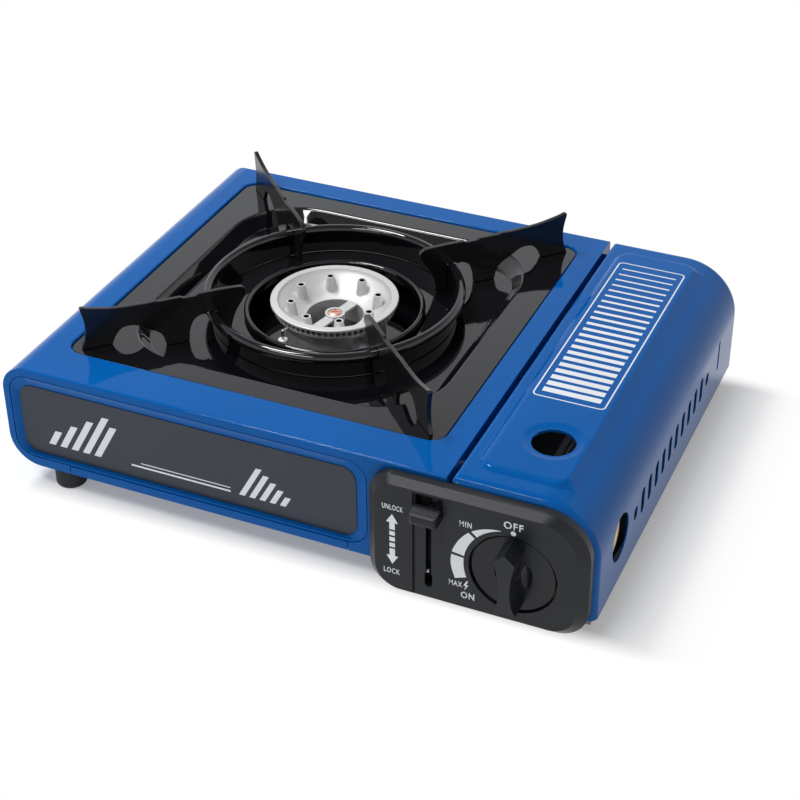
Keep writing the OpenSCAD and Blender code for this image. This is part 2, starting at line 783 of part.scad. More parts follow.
module inlet_socket() color(brass) translate([can_x, bracket_y + bracket_t, can_z]) rotate([-90, 0, 0])
  difference() {
    rim_h = socket_depth - 2;
    rotate_extrude()
      polygon([[2, inlet_boss_out], [inlet_boss_r + press_gap, inlet_boss_out], [inlet_boss_r + press_gap, 0],
               [20, 0], [20, rim_h], [18, rim_h], [18, 2], [5.5, 2], [5.5, rim_h - 1], [2, rim_h - 1]]);
    for (a = [0, 120, 240]) rotate(a) block([12, -6, 2.2], [25, 6, rim_h + 1]);
  }

module inlet_seal() color(rubber) translate([can_x, bracket_y + bracket_t + 2, can_z]) rotate([-90, 0, 0])
  rotate_extrude() translate([7.2, 1.6]) circle(1.6);

module jet_nozzle() color(brass) on_tube()
  difference() {
    union() {
      cylinder(r = 3.2, h = 6);
      translate([0, 0, -jet_hex_h]) cylinder(r = 5, h = jet_hex_h + 1, $fn = 6);
    }
    translate([0, 0, 2]) cylinder(r = 0.6, h = 5);
  }

module valve_spindle() color(steel) translate([knob_x, governor_y0 + 8, knob_z]) rotate([90, 0, 0])
  cylinder(r = spindle_r, h = governor_y0 + 8 - p_front + 3);

// Cam whose radius grows steadily over the knob's turn
function cam_radius(a) =
  let (turned = (540 - a) % 360, past = (turned - knob_turn) / (360 - knob_turn))
  turned <= knob_turn ? cam_r + strike * turned / knob_turn : cam_r + strike * (1 - past);
module ignition_cam() color(charcoal) translate([knob_x, igniter_y + cam_t / 2, knob_z]) rotate([90, 0, 0])
  difference() {
    linear_extrude(cam_t) polygon([for (a = [0 : 5 : 355]) cam_radius(a) * [cos(a), sin(a)]]);
    translate([0, 0, -1]) cylinder(r = spindle_r + press_gap, h = cam_t + 2);
  }

module igniter_body() color(charcoal) difference() {
  union() {
    along_x(igniter_x0, igniter_x1) translate([igniter_y, knob_z]) rounded(-4, -5, 4, 5, [2, 2, 2, 2]);
    translate([igniter_x0 - 2, igniter_y, knob_z]) rotate([0, 90, 0]) cylinder(r = 2.6, h = 3);
  }
  translate([igniter_x1 - 13, igniter_y, knob_z]) rotate([0, 90, 0])
    cylinder(r = plunger_r + slide_gap, h = 20);
}

module igniter_plunger() color(steel) {
  tip = knob_x - cam_r - cam_gap;
  translate([igniter_x1 - 8, igniter_y, knob_z]) rotate([0, 90, 0]) {
    cylinder(r = plunger_r, h = tip - igniter_x1 + 8 - plunger_r);
    translate([0, 0, tip - igniter_x1 + 8 - plunger_r]) sphere(plunger_r);
  }
}

module ignition_lead() color(rubber) {
  start = [igniter_x0 - 2, igniter_y, knob_z];
  finish = [spark_x, spark_y, insulator_low];
  route = concat([start], lead_points, [finish - [-1, 1, 6], finish]);
  sweep(curve(route, 4), lead_r, 8);
}

// Lock lever and pusher

module lever_plate() {
  neck = axle_back - channel_depth;
  hub_r = 7;
  neck_h = 4;
  crank_r = 4.5;
  polygon([[0, hub_r], [-neck + 14, nose_up / 2 + neck_h], [-neck, nose_up + neck_h / 2],
           [-neck - 7, nose_up + neck_h / 2], [-neck - 7, nose_up - neck_h / 2],
           [-neck, nose_up - neck_h / 2],
           [-neck + 14, -neck_h / 2 - 1.5], [0, -hub_r]]);
  circle(hub_r);
  translate([0, crank_len]) circle(crank_r);
  polygon([[-hub_r, 0], [hub_r, 0], [crank_r, crank_len], [-crank_r, crank_len]]);
}

// Lever's own frame: the axle at the origin and the swing at its middle
module on_lever() translate([lever_x, axle_y, axle_z]) rotate([-lever_half, 0, 0]) children();

module lever_arm() color(steel) on_lever() difference() {
  union() {
    along_x(-lever_t / 2, lever_t / 2) lever_plate();
    translate([0, 0, crank_len]) rotate([0, 90, 0])
      cylinder(r = crank_pin_r, h = lever_t / 2 + rod_room + rod_t + 1);
  }
  translate([-5, 0, 0]) rotate([0, 90, 0]) cylinder(r = axle_r + pin_gap, h = 10);
}

module lever_axle() color(steel) translate([shield_x, axle_y, axle_z]) rotate([0, 90, 0]) {
  span = lever_x + lever_t / 2 - shield_x;
  shoulder = lever_x - lever_t / 2 - bay_x0 - slide_gap;
  translate([0, 0, -1.5]) cylinder(r = 5, h = 1.5);
  cylinder(r = axle_r, h = span + slide_gap + 1);
  translate([0, 0, sheet]) cylinder(r = 4, h = shoulder);
  translate([0, 0, span + slide_gap]) cylinder(r = 4.5, h = 1);
}

module lever_cap() color(charcoal) {
  stem_z = axle_z + lever_reach + nose_up * cos(lever_half);
  back = p_front + channel_depth - 0.8;
  out = 9;
  tip_r = 2.2;
  corner = 3;
  half_w = channel_w / 2 - 0.8;
  difference() {
    intersection() {
      along_x(lever_x - half_w, lever_x + half_w) {
        polygon([[back, stem_z - 2.8], [back, stem_z + 4.6], [back - 1.4, stem_z + 4.6],
                 [back - out + tip_r, stem_z + 3.4], [back - out + tip_r, stem_z - 2.8]]);
        translate([back - out + tip_r, stem_z + 1.2]) circle(tip_r);
        translate([back - out + tip_r, stem_z - 0.6]) circle(tip_r);
        translate([back - out, stem_z - 0.6]) square([tip_r, 1.8]);
      }
      along_z(stem_z - 10, stem_z + 20)
        rounded(lever_x - half_w, back - out, lever_x + half_w, back + 1, [corner, corner, 0, 0]);
    }
    on_lever() along_x(-lever_t / 2 - press_gap, lever_t / 2 + press_gap) lever_plate();
  }
}

module pull_rod() color(steel) difference() {
  pin_y = axle_y + crank_len * sin(lever_half);
  drop = crank_len * (1 - cos(lever_half));
  block([rod_x, pin_y - 8, rod_z - rod_w / 2], [rod_x + rod_t, pusher_y, rod_z + rod_w / 2]);
  translate([0, pin_y, rod_z - drop / 2])
    along_x(rod_x - 1, rod_x + rod_t + 1)
      obround(2 * crank_pin_r + 0.3, 2 * crank_pin_r + 2 * slide_gap + drop);
}

module rod_guides() color(steel)
  for (y = [by, (by + yb) / 2])
    along_y(y, y + 1.5) difference() {
      rounded(bay_x0, rod_z - 9, rod_x + rod_t + 2.2, rod_z + rod_w / 2 + 1.5, [0, 1, 1, 0]);
      translate([rod_x - slide_gap, rod_z - rod_w / 2 - slide_gap])
        square([rod_t + 2 * slide_gap, rod_w + 2 * slide_gap]);
    }

module pusher_plate() color(steel) {
  low = bay_top + rest_gap;
  half_w = can_r - 5;
  foot_d = 13;
  along_y(pusher_y, pusher_y + pusher_t) {
    rounded(can_x - half_w + guide_in + slide_gap, low, can_x + half_w - guide_in - slide_gap, can_z + 20,
            [0, 0, 14, 14]);
    translate([rod_x, rod_z - rod_w]) square([can_x - rod_x, rod_w * 1.5]);
  }
  block([can_x - half_w, pusher_y, low], [can_x + half_w, pusher_y + foot_d, low + pusher_t]);
  translate([can_x, pusher_y + eps, can_z]) rotate([90, 0, 0]) cylinder(r = 16, h = 1.2);
}

module pusher_guides() color(steel)
  for (s = [-1, 1])
    translate([can_x + s * (can_r - 5 + slide_gap), 0, 0]) mirror([s < 0 ? 1 : 0, 0, 0])
      along_y(pusher_y - pull_travel, pusher_y + 13) {
        translate([0, bay_top]) square([2, rest_gap + pusher_t + slide_gap + 1]);
        translate([-guide_in, bay_top + rest_gap + pusher_t + slide_gap]) square([guide_in + 2, 1]);
      }

// Control panel and knob

module panel_outline(left, right, low, high, shrink = 0)
  rounded(px0 + left, pz0 + low, px1 - right, pz1 - high, [17, 17, 24, 12] - [1, 1, 1, 1] * shrink);

module panel_form(inset) {
  straight = 4.6;
  face = p_front + inset;
  hull() {
    along_y(p_back - straight, p_back + (inset > 0 ? 1 : 0)) panel_outline(inset, inset, inset, inset, inset);
    along_y(face, face + eps) panel_outline(4.5 + inset, 5.5 + inset, 3.5 + inset, 3.2 + inset, 3 + inset);
  }
}

module control_panel() color(charcoal) difference() {
  pocket_z = axle_z + lever_reach + 4;
  pocket_depth = panel_depth - panel_wall;
  union() {
    difference() {
      panel_form(0);
      panel_form(panel_wall);
    }
    translate([knob_x, p_front + recess_depth + panel_wall, knob_z]) rotate([90, 0, 0])
      cylinder(r = knob_r + knob_gap + 2, h = recess_depth + 1);
    block([lever_x - channel_w / 2 - 2, p_front + 1, pz0 + 3.2],
          [lever_x + channel_w / 2 + 2, p_front + channel_depth + 2, pz1 - 5]);
    block([lever_x - channel_w / 2 - 1, p_front + 1, pocket_z - 2],
          [lever_x + channel_w / 2 + 1, p_front + pocket_depth + 1, pz1 - 4]);
    along_x(lever_x - 7.5, lever_x + 4) slot_guard();
    for (x = [px0 + 14, lever_x - channel_w / 2 - 6]) panel_boss(x, pz0 + 62, yf);
    panel_boss(px0 + 14, pz0 + 14, yf);
    for (c = [[px1 - 18, pz0 + 14], [px1 - 20, pz0 + 58]]) panel_boss(c[0], c[1], yf + bay_wall_gap);
  }
  translate([knob_x, p_front + recess_depth, knob_z]) rotate([90, 0, 0])
    cylinder(r = knob_r + knob_gap, h = 20);
  translate([knob_x, p_front + 20, knob_z]) rotate([90, 0, 0]) cylinder(r = 6, h = 30);
  along_y(p_front - 1, p_front + channel_depth)
    rounded(lever_x - channel_w / 2, pz0 - 1, lever_x + channel_w / 2, pz1 - 4.6, [0, 0, 1, 1]);
  along_y(p_front - 1, p_front + pocket_depth)
    rounded(lever_x - channel_w / 2 + 1, pocket_z, lever_x + channel_w / 2 - 1, pz1 - 5.6, [1, 1, 1, 1]);
  along_y(p_front - 1, p_front + 12) lever_slot();
}

slot_low = axle_z - lever_reach - 4;

// Guard behind the slot's lower end, which keeps the view off the inside
module slot_guard() {
  guard_t = 1.2;
  start = p_front + channel_depth + 1;
  translate([start, slot_low - 1 - guard_t]) square([p_back - start, guard_t]);
  translate([p_back - guard_t, slot_low - 1 - guard_t]) square([guard_t, 3.6 + guard_t]);
}

module lever_slot() {
  low = slot_low;
  top = axle_z + lever_reach + nose_up + 3.4;
  width = lever_t + 1;
  translate([lever_x, low]) rounded(-width / 2, 0, width / 2, top - low, [1, 1, 1, 1]);
  translate([lever_x, low + 4.6]) obround(lever_t + 2.2, 9.2);
}

module panel_boss(x, z, seat)
  translate([x, seat, z]) rotate([90, 0, 0]) cylinder(r = 3.4, h = seat - p_front - 1);

// Right half of the grip's outline, from the pointer down to the lower end, in knob radii
function grip_side() = concat(
  [[0, 0.985]],
  curve([[0.25, 0.76], [0.20, 0.52], [0.15, 0.22], [0.135, -0.05], [0.145, -0.34], [0.19, -0.56],
         [0.27, -0.73]], 3),
  [[0.27, -0.76]]
) * knob_r;

module control_knob() color(charcoal) translate([knob_x, 0, knob_z]) difference() {
  disc_face = p_front + knob_sunk;
  hub_r = 5;
  low_h = grip_h - 2.5;
  side = grip_side();
  scoop_half = 0.58 * knob_r;
  scoop_deep = 0.19 * knob_r;
  scoop_r = (scoop_half * scoop_half + scoop_deep * scoop_deep) / (2 * scoop_deep);
  union() {
    translate([0, p_front + recess_depth - slide_gap, 0]) rotate([90, 0, 0])
      cylinder(r = knob_r, h = recess_depth - slide_gap - knob_sunk);
    translate([0, p_front + recess_depth + panel_wall, 0]) rotate([90, 0, 0])
      cylinder(r = hub_r, h = panel_wall + 1);
    intersection() {
      along_y(disc_face - grip_h, disc_face + 1)
        polygon(concat(side, [for (i = [len(side) - 1 : -1 : 1]) [-side[i][0], side[i][1]]]));
      along_x(-knob_r, knob_r)
        polygon([[disc_face + 2, -knob_r], [disc_face - low_h, -knob_r], [disc_face - grip_h, knob_r],
                 [disc_face + 2, knob_r]]);
    }
  }
  for (s = [-1, 1])
    translate([s * 0.32 * knob_r, disc_face - scoop_deep * 0.7, 0]) rotate_extrude() intersection() {
      translate([scoop_deep - scoop_r, 0]) circle(scoop_r);
      translate([0, -scoop_half]) square([scoop_deep, 2 * scoop_half]);
    }
  translate([0, p_front + 20, 0]) rotate([90, 0, 0]) cylinder(r = spindle_r + press_gap, h = 23.2);
}

// Burner

// Jet's own frame, along the mixing tube
module on_tube() translate([jet_x, jet_y, tube_z]) rotate([0, 0, tube_turn]) rotate([0, 90, 0]) children();

module mixing_tube() color(steel) difference() {
  mouth = 9;
  bell_r = tube_r + 3;
  start = 9;
  neck = start + mouth;
  on_tube()
    rotate_extrude()
      polygon([[tube_r - tube_wall, neck], [bell_r - tube_wall, start], [bell_r, start], [tube_r, neck],
               [tube_r, tube_span], [tube_r - tube_wall, tube_span]]);
  translate([bx, by, tube_z - 20]) cylinder(r = bowl_r, h = 40);
}

module burner_bowl() color(cast) difference() {
  flange_t = 1.2;
  chamfer = 4.6;
  translate([bx, by, 0]) rotate_extrude()
    polygon([[throat_r, bowl_low], [bowl_r, bowl_low], [bowl_r, head_low - chamfer + 1],
             [bowl_r + 1.6, head_low - flange_t - 0.6], [head_skirt_r + 0.4, head_low - flange_t],
             [head_skirt_r + 0.4, head_low], [head_skirt_r - 3.4, head_low],
             [bowl_r - bowl_wall, head_low - chamfer], [bowl_r - bowl_wall, bowl_low + bowl_wall],
             [throat_r + bowl_wall, bowl_low + bowl_wall], [throat_r + bowl_wall, throat_seat],
             [throat_r, throat_seat]]);
  on_tube() cylinder(r = tube_r - tube_wall, h = tube_span - throat_r - 4);
}

// Underside of the burner head over the gas space, from the throat out to the skirt
function head_under() = [
  [throat_r + bowl_wall, throat_seat],
  [post_circle_r + 1.5, head_top - head_depth + 2.8],
  [head_skirt_r - 4.6, head_low]
];

module burner_head() color(cast) translate([bx, by, 0]) difference() {
  rim_w = 4;
  rim_t = 1.5;
  slot_w = 1.9;
  slot_top = head_top - rim_t - 0.6;
  port_w = 1.5;
  port_h = 1;
  post_top = head_top - 0.5;
  post_root = 0.7;
  bridge_turn = 77;
  bridge_w = 6.2;
  hub_r = 5.8;
  hub_rise = 1.2;
  union() {
    difference() {
      rotate_extrude()
        polygon(concat(
          [[throat_r, throat_seat]],
          head_under(),
          [[head_skirt_r, head_low], [head_skirt_r, head_top - rim_t - 0.3], [head_r, head_top - rim_t]],
          [for (a = [0 : 30 : 90]) [head_r - 0.6 + 0.6 * cos(a), head_top - 0.6 + 0.6 * sin(a)]],
          curve([[head_r - rim_w, head_top], [head_r - rim_w - 1.2, head_top - 2.4],
                 [post_circle_r + 2, head_top - head_depth * 0.54],
                 [throat_r + 3.5, dish_low + 1], [throat_r, dish_low]], 3)
        ));
      for (i = [0 : flame_slots - 1])
        rotate(360 * i / flame_slots) {
          block([head_skirt_r - 2, -slot_w / 2, head_low - 1],
                [head_skirt_r + 1, slot_w / 2, slot_top]);
          block([head_skirt_r - 3.8, -port_w / 2, head_low - 1],
                [head_skirt_r - 1, port_w / 2, head_low + port_h]);
        }
    }
    intersection() {
      for (i = [0 : head_posts - 1])
        rotate(31 + 360 * i / head_posts) translate([post_circle_r, 0, dish_low])
          cylinder(r1 = 4.1, r2 = 2.5, h = post_top - dish_low);
      rotate_extrude()
        polygon(concat([for (p = head_under()) p + [0, post_root]],
                       [[head_skirt_r - 4.6, head_top], [throat_r + bowl_wall, head_top]]));
    }
    intersection() {
      along_z(throat_seat + 0.2, dish_low - 0.2) circle(throat_r + 0.8);
      rotate(bridge_turn)
        block([-throat_r - 1, -bridge_w / 2, throat_seat], [throat_r + 1, bridge_w / 2, dish_low]);
    }
    along_z(throat_seat - 1.2, dish_low + hub_rise) circle(hub_r);
  }
  for (i = [0 : head_posts - 1])
    rotate(31 + 360 * i / head_posts) translate([post_circle_r, 0, post_top - 5]) cylinder(r = 1.7, h = 10);
  translate([0, 0, dish_low]) cylinder(r = burner_screw_r + rest_gap, h = 10);
  translate([0, 0, dish_low - 10]) cylinder(r = screw_r + press_gap, h = 12);
}

module burner_screw() color(brass) translate([bx, by, 0]) {
  along_z(bowl_low - stand_t - 3, dish_low + eps) circle(screw_r);
  translate([0, 0, dish_low]) difference() {
    rotate_extrude()
      polygon([[0, 0], [burner_screw_r, 0], [burner_screw_r, 1], [burner_screw_r - 1.2, 1.7], [0, 1.9]]);
    for (a = [30, 120]) rotate(a) block([-2.4, -0.5, 0.9], [2.4, 0.5, 3]);
  }
}

// Stand under the burner: a wide dark shelf on two legs
module burner_bracket() color(enamel) difference() {
  half = 24;
  width = 30;
  foot = 14;
  shelf_half = 66;
  shelf_r = 30;
  union() {
    along_z(bowl_low - stand_t, bowl_low)
      rounded(bx - shelf_half, by - shelf_half, bx + shelf_half, by + shelf_half, [1, 1, 1, 1] * shelf_r);
    for (s = [-1, 1]) {
      block([bx + s * half - stand_t / 2, by - width / 2, floor_top],
            [bx + s * half + stand_t / 2, by + width / 2, bowl_low - stand_t + eps]);
      block([bx + s * (half + foot / 2) - foot / 2, by - width / 2, floor_top],
            [bx + s * (half + foot / 2) + foot / 2, by + width / 2, floor_top + stand_t]);
    }
  }
  translate([bx, by, bowl_low - 5]) cylinder(r = screw_r + press_gap, h = 10);
  translate([spark_x, spark_y, bowl_low - 5]) cylinder(r = insulator_r + collar_out + rest_gap, h = 10);
  for (s = [-1, 1])
    translate([bx + s * throat_r * 0.63, by, 0]) along_z(bowl_low - 5, bowl_low + 5) obround(9, 20);
}

module spark_insulator() color(ceramic) translate([spark_x, spark_y, insulator_low]) difference() {
  rotate_extrude() {
    square([insulator_r, insulator_h]);
    translate([0, strip_top - insulator_low]) square([insulator_r + collar_out, collar_h]);
  }
  translate([0, 0, 2]) cylinder(r = wire_r + press_gap, h = insulator_h);
}

module spark_wire() color(steel) {
  tip = head_low + 1.5;
  reach = 4;
  translate([spark_x, spark_y, insulator_low + 2]) cylinder(r = wire_r, h = tip - insulator_low - 2);
  translate([spark_x, spark_y, tip]) sphere(wire_r);
  translate([spark_x, spark_y, tip]) rotate([0, 0, spark_turn + 180]) rotate([0, 90, 0])
    cylinder(r = wire_r, h = reach);
}

module electrode_bracket() color(steel) difference() {
  width = 12;
  translate([bx, by, 0]) rotate(spark_turn) along_z(strip_top - strip_t, strip_top) {
    translate([spark_r, 0]) circle(width / 2);
    translate([9, -width / 2]) square([spark_r - 9, width]);
  }
  translate([spark_x, spark_y, strip_top - 5]) cylinder(r = insulator_r + press_gap, h = 10);
}

// Drip pan and pan support

// Section of the basin's wall, from the border down to the floor, over the distance from a corner's centre
function wall_up(a) = [-sin(a), cos(a)];
function wall_section() =
  let (a = wall_angle, r = pan_bend_r, t = pan_t,
       c1 = [basin_r, border_low - r],
       c2 = [wall_foot_r, basin_top + r],
       turns = [0 : a / 4 : a + eps],
       back = [a : -a / 4 : -eps])
  concat(
    [[basin_r + 1, border_top]],
    [for (i = turns) c1 + (r + t) * wall_up(i)],
    [for (i = back) c2 - r * wall_up(i)],
    [[wall_foot_r - 1, basin_top], [wall_foot_r - 1, basin_top - t]],
    [for (i = turns) c2 - (r + t) * wall_up(i)],
    [for (i = back) c1 + r * wall_up(i)],
    [[basin_r + 1, border_low]]
  );

module basin_wall() {
  straight = basin_half - basin_r;
  for (q = [0 : 3])
    translate([bx, by, 0]) rotate(90 * q) {
      translate([straight, straight, 0]) intersection() {
        rotate_extrude() polygon(wall_section());
        block([0, 0, 0], [basin_half, basin_half, z_deck]);
      }
      translate([straight, straight, 0]) rotate([90, 0, 0]) linear_extrude(2 * straight)
        polygon(wall_section());
    }
}

module basin_outline(half, r) rounded(bx - half, by - half, bx + half, by + half, [r, r, r, r]);

module drip_pan() color(enamel) {
  floor_half = basin_half - basin_r + wall_foot_r;
  along_z(border_low, border_top) difference() {
    open_outline(pan_gap);
    basin_outline(basin_half, basin_r);
  }
  basin_wall();
  along_z(basin_top - pan_t, basin_top) difference() {
    basin_outline(floor_half, wall_foot_r);
    translate([bx, by]) circle(pan_hole_r);
  }
  translate([bx, by, basin_top]) rotate_extrude() {
    translate([pan_hole_r, -pan_t]) square([pan_t, hole_lip_h - hole_bead_r + pan_t]);
    translate([pan_hole_r + hole_bead_r, hole_lip_h - hole_bead_r]) circle(hole_bead_r);
  }
}

module support_ring() color(enamel) translate([bx, by, support_foot_low]) rotate_extrude() {
  translate([ring_r - ring_t, 0]) square([ring_t, ring_h - ring_bead_r]);
  translate([ring_r - ring_t + ring_bead_r, ring_h - ring_bead_r]) circle(ring_bead_r);
}

// Side of one arm: radius from the burner's axis, and height
module arm_outline() {
  leg = ring_r - ring_t - 0.2;
  saddle = ring_r - ring_t + 2 * ring_bead_r + 0.4;
  rest_in = ring_r + 9.4;
  rest_mid = rest_in + 9.5;
  rest_out = rest_mid + 12.5;
  mid_foot = rest_in + 6.5;
  mid_foot_w = 13;
  foot_in = horn_reach - 16;
  foot_out = horn_reach + 1;
  horn = arm_top + horn_h;
  low = support_foot_low;
  high = support_foot_high;
  window = ring_top + 0.4;
  polygon(concat(
    curve([[nose_reach, arm_top - 3.4], [nose_reach + 2.4, arm_top - 0.8], [nose_reach + 10, arm_top - 0.2],
           [nose_reach + 16, arm_top]], 3),
    [[rest_in, arm_top], [rest_in + 1.5, arm_top - 1], [rest_mid - 1.5, arm_top - 1], [rest_mid, arm_top],
     [rest_out, arm_top], [rest_out + 1.5, arm_top + 0.6]],
    curve([[rest_out + 8, arm_top + 0.4], [horn_reach - 19, arm_top + horn_h * 0.25],
           [horn_reach - 6, arm_top + horn_h * 0.72],
           [horn_reach - 2, horn - 0.3], [horn_reach - 0.6, horn - 0.2], [horn_reach, horn - 1.4],
           [horn_reach - 1.4, arm_top - 2], [horn_reach - 2, arm_top - 8], [horn_reach - 1.2, high + 6],
           [foot_out, high]], 4),
    [[foot_in, high]],
    curve([[foot_in - 1.6, high + 4], [foot_in - 6, window + 0.4], [foot_in - 13, window + 0.6],
           [foot_in - 19, window - 3], [mid_foot + mid_foot_w + 2.5, low + 8],
           [mid_foot + mid_foot_w, low]], 3),
    [[mid_foot, low]],
    curve([[mid_foot - 0.5, low + 6], [mid_foot - 3, window - 4], [mid_foot - 7.5, window - 1.2],
           [saddle, window - 1.6]], 3),
    [[saddle, ring_top], [leg, ring_top], [leg, low], [nose_reach + 10, low]],
    curve([[nose_reach + 9, low + 6], [nose_reach + 6.5, low + 13], [nose_reach + 2.6, low + 19],
           [nose_reach + 0.2, low + 23]], 3)
  ));
}

module arm(turn) color(enamel) translate([bx, by, 0]) rotate(turn)
  translate([0, arm_t / 2, 0]) rotate([90, 0, 0]) linear_extrude(arm_t) arm_outline();
module support_arm_front_left() arm(225);
module support_arm_front_right() arm(315);
module support_arm_rear_left() arm(135);
module support_arm_rear_right() arm(45);

base_pan();
bay_tray();
main_shell();
front_fascia();
fascia_plate();
heat_shield();
case_screws();
foot_front_left();
foot_front_right();
foot_rear_left();
foot_rear_right();
control_panel();
control_knob();
valve_spindle();
ignition_cam();
lever_arm();
lever_cap();
lever_axle();
pull_rod();
rod_guides();
pusher_plate();
pusher_guides();
governor_body();
governor_cap();
governor_bracket();
inlet_socket();
inlet_seal();
jet_nozzle();
mixing_tube();
burner_bowl();
burner_head();
burner_screw();
burner_bracket();
spark_insulator();
spark_wire();
electrode_bracket();
igniter_body();
igniter_plunger();
ignition_lead();
cartridge_cradle();
lid_cover();
hinge_pins();
drip_pan();
support_ring();
support_arm_front_left();
support_arm_front_right();
support_arm_rear_left();
support_arm_rear_right();
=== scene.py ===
import json
import math

import bmesh
import bpy
from mathutils import Matrix, Vector


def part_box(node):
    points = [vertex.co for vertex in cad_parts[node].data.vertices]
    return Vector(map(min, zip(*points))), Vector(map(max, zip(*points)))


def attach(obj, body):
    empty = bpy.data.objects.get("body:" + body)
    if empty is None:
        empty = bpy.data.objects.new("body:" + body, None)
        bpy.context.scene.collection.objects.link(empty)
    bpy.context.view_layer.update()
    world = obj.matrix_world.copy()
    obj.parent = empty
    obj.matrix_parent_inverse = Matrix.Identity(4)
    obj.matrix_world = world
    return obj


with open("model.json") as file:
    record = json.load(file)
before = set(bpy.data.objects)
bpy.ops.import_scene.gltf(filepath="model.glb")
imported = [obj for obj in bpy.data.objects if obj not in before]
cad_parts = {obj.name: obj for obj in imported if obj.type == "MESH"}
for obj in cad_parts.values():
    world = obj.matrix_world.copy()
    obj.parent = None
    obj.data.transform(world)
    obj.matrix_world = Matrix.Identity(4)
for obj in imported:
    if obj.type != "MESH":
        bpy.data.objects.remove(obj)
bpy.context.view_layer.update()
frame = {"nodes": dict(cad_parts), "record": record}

NODES = frame["nodes"]
SLOT_OF = {subpart["node"]: subpart["material_slot"] for subpart in frame["record"]["subparts"]}
MM = 0.001
FULL_TURN = 2 * math.pi
WELD_GAP = 0.002 * MM


# Places, in millimetres, taken from the frame

def low_mm(node):
    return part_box(node)[0] / MM


def high_mm(node):
    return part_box(node)[1] / MM


def middle_mm(node):
    return (low_mm(node) + high_mm(node)) / 2


KNOB_AXIS = middle_mm("valve_spindle")
DIAL_MIDDLE = (KNOB_AXIS.x, low_mm("control_panel").y, KNOB_AXIS.z)


# Shader nodes

def link(tree, a, out, b, into):
    tree.links.new(a.outputs[out], b.inputs[into])


def calc(tree, operation, *values):
    """Output of a math node, each input a socket or a number."""
    node = tree.nodes.new("ShaderNodeMath")
    node.operation = operation
    for socket, value in zip(node.inputs, values):
        if isinstance(value, bpy.types.NodeSocket):
            tree.links.new(value, socket)
        else:
            socket.default_value = value
    return node.outputs["Value"]


def seen_ray(tree):
    """Socket that is 1 for camera, glossy and transmission rays, and 0 for the rays that light the object."""
    path = tree.nodes.new("ShaderNodeLightPath")
    seen = path.outputs["Is Camera Ray"]
    for ray in ("Is Glossy Ray", "Is Transmission Ray"):
        seen = calc(tree, "MAXIMUM", seen, path.outputs[ray])
    return seen


# Camera and stage

def make_camera():
    """Camera at the photograph's viewing angle and framing."""
    target = Vector((20.0, 11.3, 54.2)) * MM
    azimuth, elevation, distance = math.radians(23.17), math.radians(32.87), 1019.22 * MM
    back = Vector((math.sin(azimuth) * math.cos(elevation), -math.cos(azimuth) * math.cos(elevation),
                   math.sin(elevation)))
    data = bpy.data.cameras.new("camera")
    data.lens = 81.17
    data.sensor_width = 36.0
    data.shift_x = -0.02396
    data.shift_y = -0.05275
    data.clip_start = 0.05
    data.clip_end = 100.0
    camera = bpy.data.objects.new("camera", data)
    camera.location = target + back * distance
    camera.rotation_mode = "QUATERNION"
    camera.rotation_quaternion = (-back).to_track_quat("-Z", "Y")
    bpy.context.scene.collection.objects.link(camera)
    bpy.context.scene.camera = camera


def make_floor():
    """Pale floor that keeps the object's shadow and fades to plain white around it."""
    far, steps, pale, matt, least_white = 30.0, 64, 0.95, 0.9, 0.25
    fade_start, fade_reach = Vector((0.0, 0.008, 0.0)), Vector((0.055, 0.014, 1.0))
    first_shader, second_shader = 1, 2
    low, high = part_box("main_shell")[0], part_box("lid_cover")[1]
    centre, half_size = (low + high) / 2, (high - low) / 2
    mesh = bpy.data.meshes.new("floor")
    form = bmesh.new()
    turns = [FULL_TURN * i / steps for i in range(steps)]
    form.faces.new([form.verts.new((far * math.cos(a), far * math.sin(a), 0)) for a in turns])
    form.to_mesh(mesh)
    form.free()
    floor = bpy.data.objects.new("floor", mesh)
    bpy.context.scene.collection.objects.link(floor)
    material = bpy.data.materials.new("floor")
    material.use_nodes = True
    tree = material.node_tree
    shader = tree.nodes["Principled BSDF"]
    shader.inputs["Base Color"].default_value = (pale, pale, pale, 1)
    shader.inputs["Roughness"].default_value = matt
    shader.inputs["Specular IOR Level"].default_value = 0.0
    white = tree.nodes.new("ShaderNodeEmission")
    white.inputs["Color"].default_value = (1, 1, 1, 1)
    white.inputs["Strength"].default_value = 1.0
    place = tree.nodes.new("ShaderNodeTexCoord")
    apart = place.outputs["Object"]
    distance_steps = (("SUBTRACT", centre), ("ABSOLUTE", None), ("SUBTRACT", half_size - fade_start),
                      ("MAXIMUM", (0, 0, 0)), ("DIVIDE", fade_reach), ("LENGTH", None))
    for operation, operand in distance_steps:
        step = tree.nodes.new("ShaderNodeVectorMath")
        step.operation = operation
        tree.links.new(apart, step.inputs[0])
        if operand is not None:
            step.inputs[1].default_value = operand
        apart = step.outputs["Value" if operation == "LENGTH" else "Vector"]
    fade = tree.nodes.new("ShaderNodeMapRange")
    fade.inputs["To Min"].default_value = least_white
    tree.links.new(apart, fade.inputs["Value"])
    mix = tree.nodes.new("ShaderNodeMixShader")
    tree.links.new(calc(tree, "MULTIPLY", seen_ray(tree), fade.outputs["Result"]), mix.inputs["Fac"])
    link(tree, shader, "BSDF", mix, first_shader)
    link(tree, white, "Emission", mix, second_shader)
    link(tree, mix, "Shader", tree.nodes["Material Output"], "Surface")
    mesh.materials.append(material)


def softbox(name, place, aim, size, watts):
    """Rectangular lamp, in metres, turned to its aim."""
    data = bpy.data.lights.new(name, "AREA")
    data.shape = "RECTANGLE"
    data.size, data.size_y = size
    data.energy = watts
    lamp = bpy.data.objects.new(name, data)
    lamp.location = place
    lamp.rotation_mode = "QUATERNION"
    lamp.rotation_quaternion = (Vector(aim) - Vector(place)).to_track_quat("-Z", "Y")
    bpy.context.scene.collection.objects.link(lamp)


